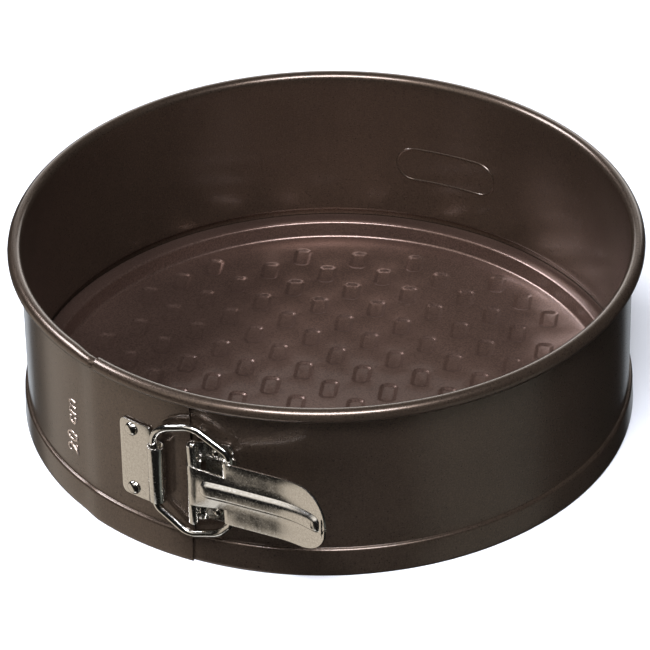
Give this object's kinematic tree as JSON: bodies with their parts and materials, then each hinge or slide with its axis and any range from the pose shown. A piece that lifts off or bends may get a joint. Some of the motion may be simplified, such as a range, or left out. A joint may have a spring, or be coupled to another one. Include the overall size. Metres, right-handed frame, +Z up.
{
  "type": "springform pan",
  "caption": "Round springform cake pan: a split band with a rolled rim and a toggle latch round a loose, dimpled base plate.",
  "frame": {"origin": "centre of the base plate's underside, on the table and on the pan's axis", "axes": "+Z up along the pan's axis; the latch is on the -Y side and its lever points to +X"},
  "size_m": [0.2098, 0.2154, 0.065],
  "materials": {
    "band_coating": "bronze-brown metallic non-stick coating on steel sheet, satin with a fine grain",
    "base_coating": "paler pinkish brown metallic non-stick coating on steel sheet, satin",
    "nickel": "bright nickel plate on pressed steel and wire, slightly grainy"
  },
  "bodies": {
    "base": {"base_plate": "base_coating"},
    "right_end": {"band_right": "band_coating", "hinge_bracket": "nickel", "bracket_rivet_upper": "nickel", "bracket_rivet_lower": "nickel", "hinge_pin": "nickel"},
    "left_end": {"band_left": "band_coating", "catch_plate": "nickel", "catch_rivet_upper": "nickel", "catch_rivet_lower": "nickel"},
    "lever": {"lever": "nickel"},
    "bail": {"bail": "nickel"}
  },
  "joints": [
    {"name": "band_lift", "type": "slide", "parent": "base", "child": "right_end", "axis": [0, 0, 1], "range_m": [0, 0.07]},
    {"name": "lever_swing", "type": "hinge", "parent": "right_end", "child": "lever", "pos_m": [0.0022, -0.1042, 0.0326], "axis": [0, 0, -1], "range_deg": [0, 70]},
    {"name": "bail_swing", "type": "hinge", "parent": "lever", "child": "bail", "pos_m": [0.0144, -0.1037, 0.0326], "axis": [0, 0, -1], "range_deg": [-41, 0]},
    {"name": "band_open", "type": "hinge", "parent": "right_end", "child": "left_end", "pos_m": [0.00874, 0.09992, 0.0326], "axis": [0, 0, -1], "range_deg": [0, 1.4]}
  ],
  "couplings": [
    {"joint": "bail_swing", "follows": "lever_swing", "ratio": -0.58},
    {"joint": "band_open", "follows": "lever_swing", "ratio": 0.019}
  ]
}
